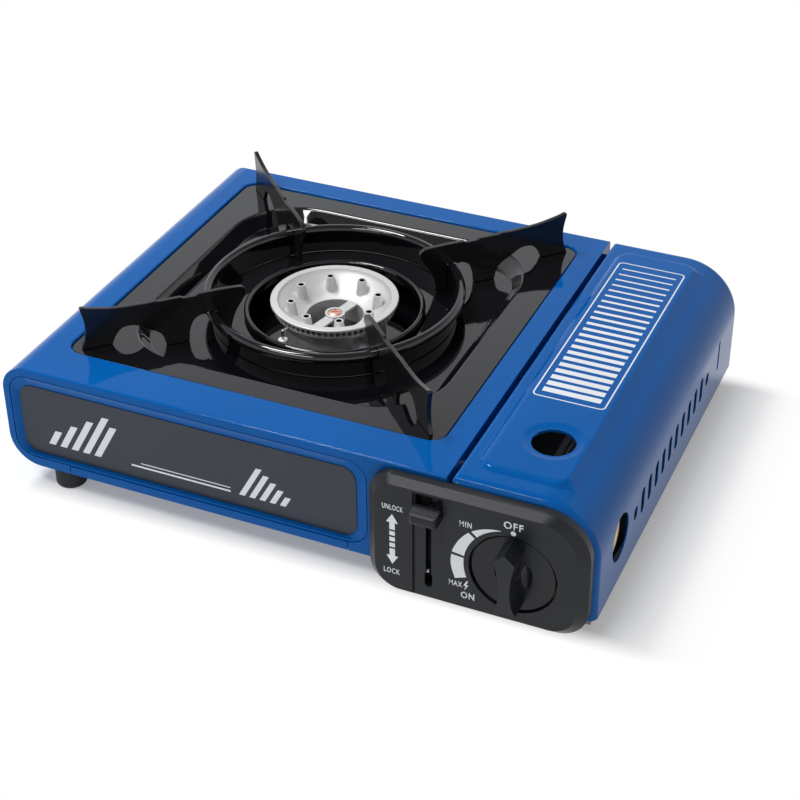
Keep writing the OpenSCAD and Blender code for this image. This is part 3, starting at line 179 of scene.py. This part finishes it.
def make_light():
    """Two soft lamps, above the left side and high in front."""
    middle = (0.0, 0.0, 0.05)
    softbox("key", (-0.55, 0.10, 1.30), middle, (0.42, 0.30), 10.5)
    softbox("front", (-0.37, -0.79, 1.34), middle, (0.80, 0.14), 7.5)
    bpy.context.scene.view_settings.view_transform = "Standard"


def make_room():
    """World that lights evenly, and shows as a white backdrop with a dimmer ceiling."""
    ambient, backdrop, ceiling = 0.34, 1.0, 0.30
    backdrop_top, ceiling_edge = math.radians(28), math.radians(50)
    world = bpy.data.worlds.new("studio")
    bpy.context.scene.world = world
    world.use_nodes = True
    tree = world.node_tree
    room = tree.nodes["Background"]
    room.inputs["Color"].default_value = (0.96, 0.98, 1.0, 1)
    place = tree.nodes.new("ShaderNodeTexCoord")
    axes = tree.nodes.new("ShaderNodeSeparateXYZ")
    link(tree, place, "Generated", axes, "Vector")
    height = tree.nodes.new("ShaderNodeMapRange")
    height.interpolation_type = "SMOOTHSTEP"
    height.inputs["From Min"].default_value = math.sin(backdrop_top)
    height.inputs["From Max"].default_value = math.sin(ceiling_edge)
    height.inputs["To Min"].default_value = backdrop
    height.inputs["To Max"].default_value = ceiling
    link(tree, axes, "Z", height, "Value")
    level = tree.nodes.new("ShaderNodeMix")
    tree.links.new(seen_ray(tree), level.inputs["Factor"])
    level.inputs["A"].default_value = ambient
    link(tree, height, "Result", level, "B")
    link(tree, level, "Result", room, "Strength")


# Materials

def make_finish(name, dark, light, rough, grain, metallic=0.0, specular=0.5, bump=0.02, stretch=(1, 1, 1)):
    """Surface whose colour drifts in soft patches and whose gloss and relief come from a fine grain."""
    patch, patch_detail, ramp_low, ramp_high = 18.0, 4.0, 0.3, 0.7
    grain_detail, relief_depth = 3.0, 0.4 * MM
    material = bpy.data.materials.new(name)
    material.use_nodes = True
    tree = material.node_tree
    shader = tree.nodes["Principled BSDF"]
    shader.inputs["Metallic"].default_value = metallic
    shader.inputs["Specular IOR Level"].default_value = specular
    place = tree.nodes.new("ShaderNodeTexCoord")
    scale = tree.nodes.new("ShaderNodeMapping")
    scale.inputs["Scale"].default_value = stretch
    link(tree, place, "Object", scale, "Vector")

    drift = tree.nodes.new("ShaderNodeTexNoise")
    drift.inputs["Scale"].default_value = patch
    drift.inputs["Detail"].default_value = patch_detail
    link(tree, scale, "Vector", drift, "Vector")
    tint = tree.nodes.new("ShaderNodeValToRGB")
    for stop, position, colour in zip(tint.color_ramp.elements, (ramp_low, ramp_high), (dark, light)):
        stop.position = position
        stop.color = (*colour, 1)
    link(tree, drift, "Fac", tint, "Fac")
    link(tree, tint, "Color", shader, "Base Color")

    fine = tree.nodes.new("ShaderNodeTexNoise")
    fine.inputs["Scale"].default_value = grain
    fine.inputs["Detail"].default_value = grain_detail
    link(tree, scale, "Vector", fine, "Vector")
    gloss = tree.nodes.new("ShaderNodeMapRange")
    gloss.inputs["To Min"].default_value, gloss.inputs["To Max"].default_value = rough
    link(tree, fine, "Fac", gloss, "Value")
    link(tree, gloss, "Result", shader, "Roughness")
    relief = tree.nodes.new("ShaderNodeBump")
    relief.inputs["Strength"].default_value = bump
    relief.inputs["Distance"].default_value = relief_depth
    link(tree, fine, "Fac", relief, "Height")
    link(tree, relief, "Normal", shader, "Normal")
    return material


FINISHES = {
    "blue_paint": {
        "dark": (0.0008, 0.094, 0.355), "light": (0.0012, 0.102, 0.383),
        "rough": (0.03, 0.06), "grain": 260, "specular": 0.11, "bump": 0.001},
    "black_enamel": {
        "dark": (0.0030, 0.0028, 0.0042), "light": (0.0050, 0.0046, 0.0062),
        "rough": (0.03, 0.07), "grain": 180, "specular": 0.62, "bump": 0.01},
    "black_satin": {
        "dark": (0.0060, 0.0060, 0.0070), "light": (0.0100, 0.0100, 0.0112),
        "rough": (0.15, 0.24), "grain": 420},
    "charcoal_plastic": {
        "dark": (0.010, 0.0115, 0.015), "light": (0.014, 0.0155, 0.0195),
        "rough": (0.28, 0.38), "grain": 2600, "specular": 0.26, "bump": 0.10},
    "plate_grey": {
        "dark": (0.024, 0.031, 0.045), "light": (0.029, 0.036, 0.051),
        "rough": (0.36, 0.44), "grain": 1500, "specular": 0.35, "bump": 0.03},
    "zinc_steel": {
        "dark": (0.50, 0.51, 0.53), "light": (0.60, 0.61, 0.63),
        "rough": (0.30, 0.46), "grain": 900, "metallic": 1.0, "bump": 0.03, "stretch": (1, 12, 1)},
    # Darker steel than the zinc slot, used for the bay tray.
    "dark_steel": {
        "dark": (0.10, 0.10, 0.11), "light": (0.14, 0.14, 0.15),
        "rough": (0.40, 0.55), "grain": 900, "metallic": 1.0, "bump": 0.03},
    "cast_aluminium": {
        "dark": (0.62, 0.62, 0.62), "light": (0.70, 0.70, 0.70),
        "rough": (0.46, 0.60), "grain": 2200, "metallic": 0.7, "bump": 0.08},
    "brass": {
        "dark": (0.62, 0.43, 0.15), "light": (0.75, 0.55, 0.24),
        "rough": (0.22, 0.36), "grain": 700, "metallic": 1.0},
    "copper_screw": {
        "dark": (0.80, 0.46, 0.34), "light": (0.88, 0.58, 0.46),
        "rough": (0.34, 0.48), "grain": 700, "metallic": 1.0},
    "rubber": {
        "dark": (0.016, 0.016, 0.018), "light": (0.024, 0.024, 0.026),
        "rough": (0.62, 0.78), "grain": 1400, "specular": 0.35, "bump": 0.12},
    "white_ceramic": {
        "dark": (0.80, 0.79, 0.75), "light": (0.86, 0.85, 0.82),
        "rough": (0.16, 0.26), "grain": 600},
    "white_print": {
        "dark": (0.76, 0.78, 0.82), "light": (0.82, 0.84, 0.88),
        "rough": (0.36, 0.46), "grain": 1800},
}
MATERIALS = {name: make_finish(name, **values) for name, values in FINISHES.items()}


def dress(piece, finish_name):
    piece.data.materials.clear()
    piece.data.materials.append(MATERIALS[finish_name])


def shade_burner_slots():
    """Copy of the casting's finish with painted shade, near black, in the flame slots and in the bores of the
    posts.
    """
    # Near-black painted shade for the insides of the flame slots and the post bores.
    painted_shade_colour = (0.006, 0.006, 0.007, 1)
    colour_a, colour_b, colour_result = 6, 7, 2
    rim_overhang, slot_depth, slot_drop, slot_lap, skin = 2.4 * MM, 2.1 * MM, 2.1 * MM, 0.1 * MM, 0.25 * MM
    posts, first_post, post_circle, bore, post_drop = 8, math.radians(31), 25.0 * MM, 1.8 * MM, 0.9 * MM
    low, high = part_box("burner_head")
    centre, top = (low + high) / 2, high.z
    skirt = (high.x - low.x) / 2 - rim_overhang
    material = MATERIALS["cast_aluminium"].copy()
    material.name = "aluminium_painted_shade"
    tree = material.node_tree
    shader = tree.nodes["Principled BSDF"]
    place = tree.nodes.new("ShaderNodeTexCoord")
    axes = tree.nodes.new("ShaderNodeSeparateXYZ")
    link(tree, place, "Object", axes, "Vector")
    x = calc(tree, "SUBTRACT", axes.outputs["X"], centre.x)
    y = calc(tree, "SUBTRACT", axes.outputs["Y"], centre.y)
    z = axes.outputs["Z"]

    def squares(a, b):
        return calc(tree, "ADD", calc(tree, "MULTIPLY", a, a), calc(tree, "MULTIPLY", b, b))

    reach = calc(tree, "SQRT", squares(x, y))
    outside = calc(tree, "GREATER_THAN", reach, skirt - slot_depth)
    inside = calc(tree, "LESS_THAN", reach, skirt - skin)
    below = calc(tree, "LESS_THAN", z, top - slot_drop + slot_lap)
    slots = calc(tree, "MULTIPLY", calc(tree, "MULTIPLY", outside, inside), below)

    sector = FULL_TURN / posts
    turn = calc(tree, "SUBTRACT", calc(tree, "ARCTAN2", y, x), first_post - sector / 2)
    off_post = calc(tree, "SUBTRACT", calc(tree, "FLOORED_MODULO", turn, sector), sector / 2)
    along = calc(tree, "SUBTRACT", calc(tree, "MULTIPLY", reach, calc(tree, "COSINE", off_post)), post_circle)
    across = calc(tree, "MULTIPLY", reach, calc(tree, "SINE", off_post))
    in_bore = calc(tree, "LESS_THAN", squares(along, across), bore * bore)
    bores = calc(tree, "MULTIPLY", in_bore, calc(tree, "LESS_THAN", z, top - post_drop))

    # Mix the painted shade into the casting's colour inside the slots and bores.
    mix = tree.nodes.new("ShaderNodeMix")
    mix.data_type = "RGBA"
    tree.links.new(calc(tree, "MAXIMUM", slots, bores), mix.inputs["Factor"])
    tree.links.new(shader.inputs["Base Color"].links[0].from_socket, mix.inputs[colour_a])
    mix.inputs[colour_b].default_value = painted_shade_colour
    tree.links.new(mix.outputs[colour_result], shader.inputs["Base Color"])
    MATERIALS["aluminium_painted_shade"] = material


# Rounded edges and smooth shading on the carried-over pieces

def geometry_group(name):
    """Modifier group with one geometry input and output, and the nodes for them."""
    group = bpy.data.node_groups.new(name, "GeometryNodeTree")
    for side in ("INPUT", "OUTPUT"):
        group.interface.new_socket("Geometry", in_out=side, socket_type="NodeSocketGeometry")
    return group, group.nodes.new("NodeGroupInput"), group.nodes.new("NodeGroupOutput")


def shade_group():
    """Modifier group: joins the faces' borders and shades smooth across all but the sharp edges."""
    sharp_from = math.radians(32)
    group, start, end = geometry_group("shade_smooth")
    join = group.nodes.new("GeometryNodeMergeByDistance")
    join.inputs["Distance"].default_value = WELD_GAP
    plain = group.nodes.new("GeometryNodeRemoveAttribute")
    plain.inputs["Name"].default_value = "custom_normal"
    faces = group.nodes.new("GeometryNodeSetShadeSmooth")
    faces.domain = "FACE"
    edges = group.nodes.new("GeometryNodeSetShadeSmooth")
    edges.domain = "EDGE"
    edges.inputs["Shade Smooth"].default_value = False
    fold = group.nodes.new("GeometryNodeInputMeshEdgeAngle")
    sharp = group.nodes.new("FunctionNodeCompare")
    sharp.operation = "GREATER_THAN"
    sharp.inputs["B"].default_value = sharp_from
    link(group, fold, "Unsigned Angle", sharp, "A")
    link(group, sharp, "Result", edges, "Selection")
    chain = (start, join, plain, faces, edges, end)
    for a, b in zip(chain, chain[1:]):
        link(group, a, "Geometry", b, "Geometry")
    return group


SMOOTH = shade_group()


def rim_group(low, high):
    """Modifier group: marks the edges that lie inside a box, to be rounded by their weight."""
    vector_a, vector_b = 4, 5
    group, start, end = geometry_group("rim_weight")
    place = group.nodes.new("GeometryNodeInputPosition")
    both = group.nodes.new("FunctionNodeBooleanMath")
    both.operation = "AND"
    for i, (operation, corner) in enumerate((("GREATER_THAN", low), ("LESS_THAN", high))):
        side = group.nodes.new("FunctionNodeCompare")
        side.data_type = "VECTOR"
        side.mode = "ELEMENT"
        side.operation = operation
        link(group, place, "Position", side, vector_a)
        side.inputs[vector_b].default_value = corner * MM
        link(group, side, "Result", both, i)
    mark = group.nodes.new("GeometryNodeStoreNamedAttribute")
    mark.data_type = "FLOAT"
    mark.domain = "EDGE"
    mark.inputs["Name"].default_value = "bevel_weight_edge"
    mark.inputs["Value"].default_value = 1.0
    link(group, start, "Geometry", mark, "Geometry")
    link(group, both, "Boolean", mark, "Selection")
    link(group, mark, "Geometry", end, "Geometry")
    return group


def deck_rim():
    """Box round the upper edge of the deck's opening, and the width of the round on it, in millimetres."""
    opening_gap, slack, width = 2.0, 0.1, 1.6
    low, high, deck = low_mm("drip_pan"), high_mm("drip_pan"), high_mm("main_shell").z
    return (Vector((low.x - opening_gap, low.y - opening_gap, deck - slack)),
            Vector((high.x + opening_gap, high.y + opening_gap, deck + slack)), width)


def soften(node, width, rim=None):
    """Small round on a carried-over piece's edges, a larger one on its rim, and smooth shading."""
    flat_angle, sharp_angle, edge_segments, rim_segments = math.radians(0.4), math.radians(40), 3, 5
    piece = NODES[node]
    weld = piece.modifiers.new("weld", "WELD")
    weld.merge_threshold = WELD_GAP
    flat = piece.modifiers.new("flat", "DECIMATE")
    flat.decimate_type = "DISSOLVE"
    flat.angle_limit = flat_angle
    if rim:
        low, high, rim_width = rim
        mark = piece.modifiers.new("mark", "NODES")
        mark.node_group = rim_group(low, high)
        roll = piece.modifiers.new("roll", "BEVEL")
        roll.width = rim_width * MM
        roll.segments = rim_segments
        roll.limit_method = "WEIGHT"
    edge = piece.modifiers.new("edge", "BEVEL")
    edge.width = width * MM
    edge.segments = edge_segments
    edge.limit_method = "ANGLE"
    edge.angle_limit = sharp_angle
    shade = piece.modifiers.new("shade", "NODES")
    shade.node_group = SMOOTH
    level = piece.modifiers.new("level", "WEIGHTED_NORMAL")
    level.keep_sharp = True


# Printed pieces: thin raised shapes drawn flat in (u, v), in millimetres, and laid on a face

FRONT = Matrix(((1, 0, 0, 0), (0, 0, -1, 0), (0, 1, 0, 0), (0, 0, 0, 1)))
LEVEL = Matrix.Identity(4)
PRINT_RISE = 0.06
PRINT_SINK = 0.12


def place_form(name, form, facing, origin, body, finish_name="white_print"):
    """Piece made from a form in millimetres, turned to its facing and moved to its origin."""
    form.transform(Matrix.Translation(Vector(origin) * MM) @ facing @ Matrix.Scale(MM, 4))
    mesh = bpy.data.meshes.new(name)
    form.to_mesh(mesh)
    form.free()
    piece = bpy.data.objects.new(name, mesh)
    bpy.context.scene.collection.objects.link(piece)
    dress(piece, finish_name)
    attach(piece, body)


def lay(name, shapes, facing, origin, body):
    """Closed outlines raised into one printed piece."""
    form = bmesh.new()
    for shape in shapes:
        low = [form.verts.new((u, v, -PRINT_SINK)) for u, v in shape]
        top = [form.verts.new((u, v, PRINT_RISE)) for u, v in shape]
        form.faces.new(top)
        form.faces.new(list(reversed(low)))
        for i in range(len(shape)):
            j = (i + 1) % len(shape)
            form.faces.new((low[i], low[j], top[j], top[i]))
    bmesh.ops.recalc_face_normals(form, faces=form.faces)
    place_form(name, form, facing, origin, body)


def word(text, left, right, middle, height, weight):
    """Lettering on the panel, fitted to the width and height of its place."""
    spacing, curve_steps, join_gap = 1.15, 4, 0.0005
    name = "print_" + text.lower()
    curve = bpy.data.curves.new(name, "FONT")
    curve.body = text
    curve.offset = weight
    curve.space_character = spacing
    curve.resolution_u = curve_steps
    letters = bpy.data.objects.new(name + "_curve", curve)
    bpy.context.scene.collection.objects.link(letters)
    mesh = letters.evaluated_get(bpy.context.evaluated_depsgraph_get()).to_mesh()
    form = bmesh.new()
    form.from_mesh(mesh)
    bpy.data.objects.remove(letters)
    bpy.data.curves.remove(curve)
    us, vs = [v.co.x for v in form.verts], [v.co.y for v in form.verts]
    for v in form.verts:
        v.co.x = left + (v.co.x - min(us)) / (max(us) - min(us)) * (right - left)
        v.co.y = middle + ((v.co.y - min(vs)) / (max(vs) - min(vs)) - 0.5) * height
        v.co.z = PRINT_RISE
    bmesh.ops.remove_doubles(form, verts=form.verts, dist=join_gap)
    raised = bmesh.ops.extrude_face_region(form, geom=form.faces[:])
    for item in raised["geom"]:
        if isinstance(item, bmesh.types.BMVert):
            item.co.z = -PRINT_SINK
    bmesh.ops.recalc_face_normals(form, faces=form.faces)
    place_form(name, form, FRONT, DIAL_MIDDLE, "body")


def bar(u0, v0, u1, v1, lean=0.0):
    return [(u0, v0), (u1, v0), (u1 + lean, v1), (u0 + lean, v1)]


def polar(radius, degrees):
    return radius * math.cos(math.radians(degrees)), radius * math.sin(math.radians(degrees))


def shifted(shape, u, v):
    return [(u + a, v + b) for a, b in shape]


def arc_band(inner, outer, start, end, step=3.0):
    """Closed outline from an inner radius to an outer one, which is a function of the angle in degrees."""
    count = int((end - start) / step) + 1
    turns = [start + (end - start) * i / (count - 1) for i in range(count)]
    return [polar(outer(t), t) for t in turns] + [polar(inner, t) for t in reversed(turns)]


def round_frame(u0, v0, u1, v1, radius, line):
    """Outline frame with round corners, as eight closed strips."""
    corner_step = 10.0
    left, right, bottom, top = u0 + radius, u1 - radius, v0 + radius, v1 - radius
    shapes = []
    for u, v, start in ((right, top, 0), (left, top, 90), (left, bottom, 180), (right, bottom, 270)):
        corner = arc_band(radius - line, lambda t: radius, start, start + 90, corner_step)
        shapes.append(shifted(corner, u, v))
    shapes.append(bar(left, v0, right, v0 + line))
    shapes.append(bar(left, v1 - line, right, v1))
    shapes.append(bar(u0, bottom, u0 + line, top))
    shapes.append(bar(u1 - line, bottom, u1, top))
    return shapes


def print_words():
    """Operating words on the panel: left, right, middle height and letter height from the knob's axis."""
    fine, bold = 0.018, 0.022
    word("UNLOCK", -70.0, -58.6, 22.3, 3.3, fine)
    word("LOCK", -69.4, -60.4, -18.1, 3.3, fine)
    word("MIN", -28.4, -21.9, 23.8, 3.5, fine)
    word("OFF", -5.4, 4.8, 30.0, 4.4, bold)
    word("MAX", -33.6, -26.4, -14.9, 3.5, fine)
    word("ON", -27.1, -19.8, -21.1, 4.2, bold)


def print_arrow():
    """Double arrow with a dashed middle, beside the lever's slot."""
    mid, top, low, head, half, shaft = -64.6, 18.2, -13.6, 5.4, 3.2, 1.5
    count, dash, gap, lap = 3, 2.6, 1.1, 0.01
    first = (top + low - count * dash - (count - 1) * gap) / 2
    dashes = [first + i * (dash + gap) for i in range(count)]
    shapes = [[(mid - half, top - head), (mid + half, top - head), (mid, top)],
              [(mid + half, low + head), (mid - half, low + head), (mid, low)]]
    shapes += [bar(mid - shaft, v, mid + shaft, v + dash) for v in dashes]
    shapes.append(bar(mid - shaft, dashes[-1] + dash + gap, mid + shaft, top - head + lap))
    shapes.append(bar(mid - shaft, low + head - lap, mid + shaft, dashes[0] - gap))
    lay("print_arrow", shapes, FRONT, DIAL_MIDDLE, "body")


def print_dial():
    """Spark sign, the scale that widens round the knob, and the dot over it."""
    bolt_u, bolt_v = -24.2, -14.9
    bolt = [(0.1, 3.2), (-1.7, -0.3), (-0.3, 0.0), (-1.0, -3.0), (1.2, 0.7), (-0.2, 0.5), (1.0, 3.2)]
    lay("print_bolt", [shifted(bolt, bolt_u, bolt_v)], FRONT, DIAL_MIDDLE, "body")

    off, inner = 90.0, 26.0
    outline = [(15, 26.2), (49, 30.2), (81, 32.6), (94, 32.9), (111, 32.5)]
    spans = ((15, 47.5), (51, 81.5), (84.5, 111))

    def outer(turn):
        """Radius between the points of the outline, which count their angles from off."""
        angle = turn - off
        (a, near), (b, far) = next(pair for pair in zip(outline, outline[1:]) if angle <= pair[1][0])
        return near + (far - near) * (angle - a) / (b - a)

    bands = [arc_band(inner, outer, off + a, off + b) for a, b in spans]
    lay("print_dial", bands, FRONT, DIAL_MIDDLE, "body")

    dot_u, dot_v, dot_radius, dot_step = -0.3, 25.7, 1.4, 20
    dot = [polar(dot_radius, t) for t in range(0, 360, dot_step)]
    lay("print_dot", [shifted(dot, dot_u, dot_v)], FRONT, DIAL_MIDDLE, "body")


def print_fascia():
    """Slanted bars at both ends of the plate, joined by two thin lines, in shares of the plate's size."""
    low, high = low_mm("fascia_plate"), high_mm("fascia_plate")
    wide, tall = high.x - low.x, high.z - low.z
    lean, foot, lines_end = 0.55, 0.18 * tall, 0.635 * wide
    shapes = []
    for first, width, pitch, shares in ((0.075, 4.2, 7.2, (0.22, 0.36, 0.50, 0.62, 0.50)),
                                        (0.66, 3.4, 6.0, (0.46, 0.38, 0.30, 0.22, 0.14))):
        for i, share in enumerate(shares):
            u = first * wide + i * pitch
            shapes.append(bar(u, foot, u + width, foot + share * tall, lean * share * tall))
    for start, bottom, top in ((0.335, 0.0, 1.1), (0.365, 2.6, 3.2)):
        shapes.append(bar(start * wide, foot + bottom, lines_end, foot + top))
    lay("print_fascia", shapes, FRONT, low, "body")


def print_lid():
    """White outline frame on the lid's raised field, filled with stripes that thin out towards the back."""
    u0, u1, v0, v1, corner, line = 11.4, 51.4, 81.0, 231.0, 3.0, 0.8
    inset, count, widest, thinning = 4.0, 22, 0.32, 0.24
    low, high = low_mm("lid_cover"), high_mm("lid_cover")
    origin = (low.x, low.y, high.z)
    lay("print_lid_frame", round_frame(u0, v0, u1, v1, corner, line), LEVEL, origin, "lid")
    pitch = (v1 - v0 - 2 * inset) / count
    stripes = []
    for i in range(count):
        half = pitch * (widest - thinning * i / (count - 1))
        v = v0 + inset + (i + 0.5) * pitch
        stripes.append(bar(u0 + inset, v - half, u1 - inset, v + half))
    lay("print_lid_stripes", stripes, LEVEL, origin, "lid")


def cover_governor():
    """Turned brass collar on the governor's cap, round its middle nub, close behind the lid's side hole."""
    nub_rise, nub_radius, nub_gap, steps = 2.0, 4.0, 0.4, 48
    foot, outer, rise, rim, chamfer, recess = 10.3, 11.8, 3.4, 3.6, 0.6, 1.0
    inner, bulge = nub_radius + nub_gap, 0.3 * chamfer
    profile = [(inner, 0.0), (foot, 0.0), (outer, outer - foot), (outer, rise - chamfer),
               (outer - bulge, rise - bulge), (outer - chamfer, rise), (outer - rim, rise),
               (outer - rim - recess, rise - recess), (inner, rise - recess)]
    turns = [FULL_TURN * i / steps for i in range(steps)]
    form = bmesh.new()
    rings = []
    for radius, height in profile:
        rings.append([form.verts.new((height, radius * math.cos(a), radius * math.sin(a))) for a in turns])
    for ring, following in zip(rings, rings[1:] + rings[:1]):
        for i in range(steps):
            j = (i + 1) % steps
            form.faces.new((ring[i], ring[j], following[j], following[i]))
    bmesh.ops.recalc_face_normals(form, faces=form.faces)
    middle = middle_mm("governor_cap")
    seat = (high_mm("governor_cap").x - nub_rise, middle.y, middle.z)
    place_form("governor_collar", form, LEVEL, seat, "body", "brass")


make_camera()
make_floor()
make_light()
make_room()
# Casting finish with painted shade in its slots and bores.
shade_burner_slots()

ARMS = [name for name in NODES if name.startswith("support_arm")]
# The burner head takes the casting finish with painted shade in its slots and bores.
OWN_FINISH = {"burner_head": "aluminium_painted_shade", "bay_tray": "dark_steel",
              **dict.fromkeys(ARMS, "black_satin")}
for name, piece in NODES.items():
    dress(piece, OWN_FINISH.get(name, SLOT_OF[name]))

# Width of the round on each piece's edges, in millimetres
EDGE_ROUND = {"control_panel": 0.5, "control_knob": 0.5, "lever_cap": 0.5, "front_fascia": 0.3,
              "lid_cover": 0.25, "drip_pan": 0.2, "burner_head": 0.3, "burner_screw": 0.3,
              "support_ring": 0.4, **dict.fromkeys(ARMS, 0.3)}
for node, width in EDGE_ROUND.items():
    soften(node, width)
soften("main_shell", 0.4, deck_rim())

print_words()
print_arrow()
print_dial()
print_fascia()
print_lid()
cover_governor()
